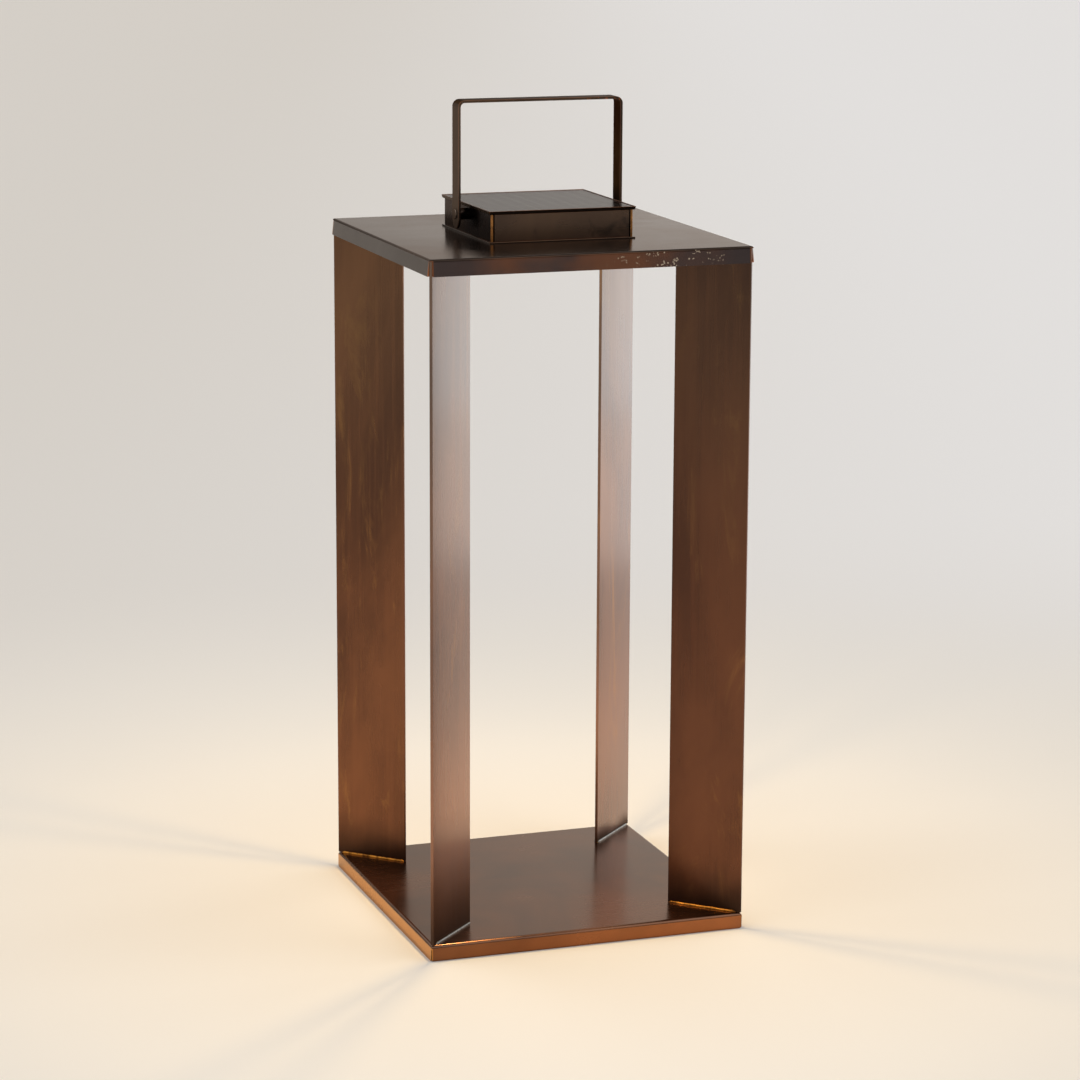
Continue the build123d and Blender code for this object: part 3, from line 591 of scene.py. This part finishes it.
def pinch_corners(work):
    """Draw the four corners of the lid's folded rim out into small points."""
    reach = LID_HIGH.x
    for vert in work.verts:
        x, y, z = vert.co
        from_corner = max(reach - abs(x), reach - abs(y))
        if from_corner < CORNER_REACH and z > LID_LOW.z + 1.0 * MM:
            vert.co += Vector((math.copysign(1, x), math.copysign(1, y), 0.4)) * CORNER_PULL


def weld_bead(work, start, end, up, side, seed):
    """One rippled fillet bead from start to end, between an upright face and a flat one."""
    along = end - start
    length = along.length
    along.normalize()
    steps = int(length / BEAD_STEP)
    rings = []
    for step in range(steps + 1):
        distance = length * step / steps
        wave = noise.noise(Vector((distance * 260, seed * 3.7, 0.0)))
        ripple = 0.5 + 0.5 * math.cos(2 * math.pi * distance / RIPPLE_PITCH + 2.0 * wave)
        taper = min(1.0, 0.35 + distance / BEAD_TAPER, 0.35 + (length - distance) / BEAD_TAPER)
        size = WELD_LEG * taper * (0.90 + 0.10 * ripple + 0.16 * wave)
        centre = start + along * distance
        ring = [work.verts.new(centre)]
        for facet in range(BEAD_FACETS + 1):
            angle = math.pi / 2 * facet / BEAD_FACETS
            swell = size * (0.80 + 0.12 * math.sin(2 * angle))
            outward = side * swell * math.cos(angle) + up * swell * math.sin(angle)
            ring.append(work.verts.new(centre + outward))
        rings.append(ring)
    count = len(rings[0])
    faces = [work.faces.new(rings[0][::-1]), work.faces.new(rings[-1])]
    for one, two in zip(rings, rings[1:]):
        for index in range(count):
            after = (index + 1) % count
            faces.append(work.faces.new((one[index], one[after], two[after], two[index])))
    return faces


def weld_group(node, z, up):
    """All the beads along the posts, on the plate at height z. Every other post has golden ones."""
    work = bmesh.new()
    corner = HALF * math.sqrt(2)
    inner = corner - POST_SETBACK - POST_WIDTH
    for place, degrees in enumerate((45, 135, 225, 315)):
        turn = math.radians(degrees)
        outward = Vector((math.cos(turn), math.sin(turn), 0))
        across = Vector((-math.sin(turn), math.cos(turn), 0))
        for hand in (-1, 1):
            face_at = across * hand * POST_THICKNESS / 2 + Vector((0, 0, z))
            start = outward * (inner + BEAD_INNER_GAP) + face_at
            end = outward * (corner - BEAD_OUTER_GAP) + face_at
            faces = weld_bead(work, start, end, Vector((0, 0, up)), across * hand, place * 2 + hand)
            for face in faces:
                face.material_index = place % 2
    bmesh.ops.recalc_face_normals(work, faces=work.faces)
    mesh = bpy.data.meshes.new(f"{node}_finished")
    mesh.materials.append(finish_of(node))
    mesh.materials.append(GOLDEN_WELD)
    work.to_mesh(mesh)
    work.free()
    mesh.shade_smooth()
    mesh.set_sharp_from_angle(angle=math.radians(60))
    piece = bpy.data.objects.new(f"{node}_finished", mesh)
    bpy.context.collection.objects.link(piece)
    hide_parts(node)
    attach(piece, "lantern")


for name in ("base_tray", "top_plate"):
    softened(name, 0.35 * MM, worn=False)
for name in ("post_left", "post_front", "post_right", "post_rear"):
    softened(name, 0.2 * MM)
softened("housing_floor", 0.25 * MM)
for name in ("left", "right", "front", "rear"):
    softened(f"housing_wall_{name}", 0.3 * MM)
softened("lid_tray", 0.2 * MM, pinch_corners)
softened("handle_strap", 0.4 * MM)
for name in ("pivot_bush_left", "pivot_bush_right", "pivot_washer_left", "pivot_washer_right"):
    softened(name, 0.15 * MM)
weld_group("foot_welds", BASE_TOP, 1)
weld_group("head_welds", POST_TOP, -1)

replaced = {name.replace("_finished", "") for name in bpy.data.objects.keys() if name.endswith("_finished")}
for node, piece in frame["nodes"].items():
    if node not in replaced:
        dress(piece, node)


# ---------------------------------------------------------------------------------------------
# Studio: floor, lights, camera
# ---------------------------------------------------------------------------------------------
DIM_FRONT = (0.36, 0.35, 0.34)
BACKDROP_LEFT = (0.26, 0.235, 0.21)
BACKDROP_RIGHT = (0.66, 0.615, 0.57)
SIDE_LIGHT = (1.84, 1.82, 1.80)
FLOOR_RADIUS = 14.0
LAMP_SIZE = 0.05
LAMP_POWER = 1.85
CAMERA_ELEVATION = math.radians(12.31)
CAMERA_ROLL = math.radians(0.26)
SENSOR_WIDTH = 36.0
LENS_TO_SENSOR = 3549 / 1080
# Camera places, in lantern sides
CAMERA_DISTANCE = 10.964
AIM_HEIGHT = 1.151
AIM_RIGHT = 0.012


def studio_floor():
    mesh = bpy.data.meshes.new("studio_floor")
    work = bmesh.new()
    bmesh.ops.create_circle(work, cap_ends=True, segments=96, radius=FLOOR_RADIUS)
    work.to_mesh(mesh)
    work.free()
    floor = bpy.data.objects.new("studio_floor", mesh)
    bpy.context.collection.objects.link(floor)
    mesh.materials.append(floor_material())


def soft_light(name, place, aim, size, power, colour, shape="RECTANGLE", spread=180.0):
    """An area light the camera doesn't see."""
    light = bpy.data.lights.new(name, "AREA")
    light.shape = shape
    light.size = size[0]
    if shape == "RECTANGLE":
        light.size_y = size[1]
    light.energy = power
    light.color = colour
    light.spread = math.radians(spread)
    holder = bpy.data.objects.new(name, light)
    bpy.context.collection.objects.link(holder)
    holder.location = place
    holder.rotation_euler = (Vector(aim) - Vector(place)).to_track_quat("-Z", "Y").to_euler()
    holder.visible_camera = False
    return holder


def reflector_panel(place, size, radiance, colour):
    """A low soft panel beside the lantern, which only its glossy surfaces show."""
    power = radiance * math.pi * size[0] * size[1]
    panel = soft_light("reflector_panel", place, (0, 0, place.z), size, power, colour)
    panel.visible_diffuse = False


def studio_world():
    """Soft light from high on both sides, a dim front and ceiling, and a backdrop paler at the right."""
    world = bpy.data.worlds.new("studio")
    world.use_nodes = True
    sky = Nodes(world.node_tree, "Generated")
    height = sky.axis("Z")
    sideways = sky.math("ABSOLUTE", sky.along(CAMERA_RIGHT))
    backdrop = sky.blend(sky.ramp(sky.along(CAMERA_RIGHT), -0.25, 0.10), BACKDROP_LEFT, BACKDROP_RIGHT)
    low = sky.blend(sky.ramp(sky.along(CAMERA_AHEAD), -0.1, 0.75), DIM_FRONT, backdrop)
    sides = sky.product(sky.ramp(sideways, 0.25, 0.70), sky.ramp(height, 0.28, 0.58))
    background = world.node_tree.nodes["Background"]
    sky.feed(background.inputs["Color"], sky.blend(sides, low, SIDE_LIGHT))
    background.inputs["Strength"].default_value = 1.0
    bpy.context.scene.world = world


def photo_camera():
    """Camera at the view's angle, with a long lens."""
    side = 2 * HALF
    distance = CAMERA_DISTANCE * side
    level = math.cos(CAMERA_ELEVATION)
    back = Vector((math.sin(CAMERA_AZIMUTH) * level, -math.cos(CAMERA_AZIMUTH) * level,
                   math.sin(CAMERA_ELEVATION)))
    right = (-back).cross(Vector((0, 0, 1))).normalized()
    up = right.cross(-back)
    target = Vector((0, 0, AIM_HEIGHT * side)) + right * AIM_RIGHT * side
    rolled_right = math.cos(CAMERA_ROLL) * right + math.sin(CAMERA_ROLL) * up
    rolled_up = -math.sin(CAMERA_ROLL) * right + math.cos(CAMERA_ROLL) * up
    camera = bpy.data.cameras.new("camera")
    camera.sensor_width = SENSOR_WIDTH
    camera.lens = LENS_TO_SENSOR * camera.sensor_width
    camera.clip_end = 60.0
    holder = bpy.data.objects.new("camera", camera)
    bpy.context.collection.objects.link(holder)
    turn = Matrix((rolled_right, rolled_up, back)).transposed().to_4x4()
    holder.matrix_world = Matrix.Translation(target + back * distance) @ turn
    bpy.context.scene.camera = holder


studio_floor()
studio_world()
# A warm lower panel and a cooler, brighter one above it, at the right
reflector_panel(Vector((1.18, 0.415, 0.09)), (1.2, 0.18), 0.72, (1.0, 0.94, 0.88))
reflector_panel(Vector((1.18, 0.415, 0.30)), (1.2, 0.24), 1.04, (0.90, 0.99, 1.04))
lamp_z = BEZEL_UNDER - 0.5 * MM
soft_light("lamp", (0, 0, lamp_z), (0, 0, 0), (LAMP_SIZE,), LAMP_POWER, LAMP_COLOUR, "DISK", spread=170.0)
photo_camera()
bpy.context.scene.view_settings.view_transform = "Standard"
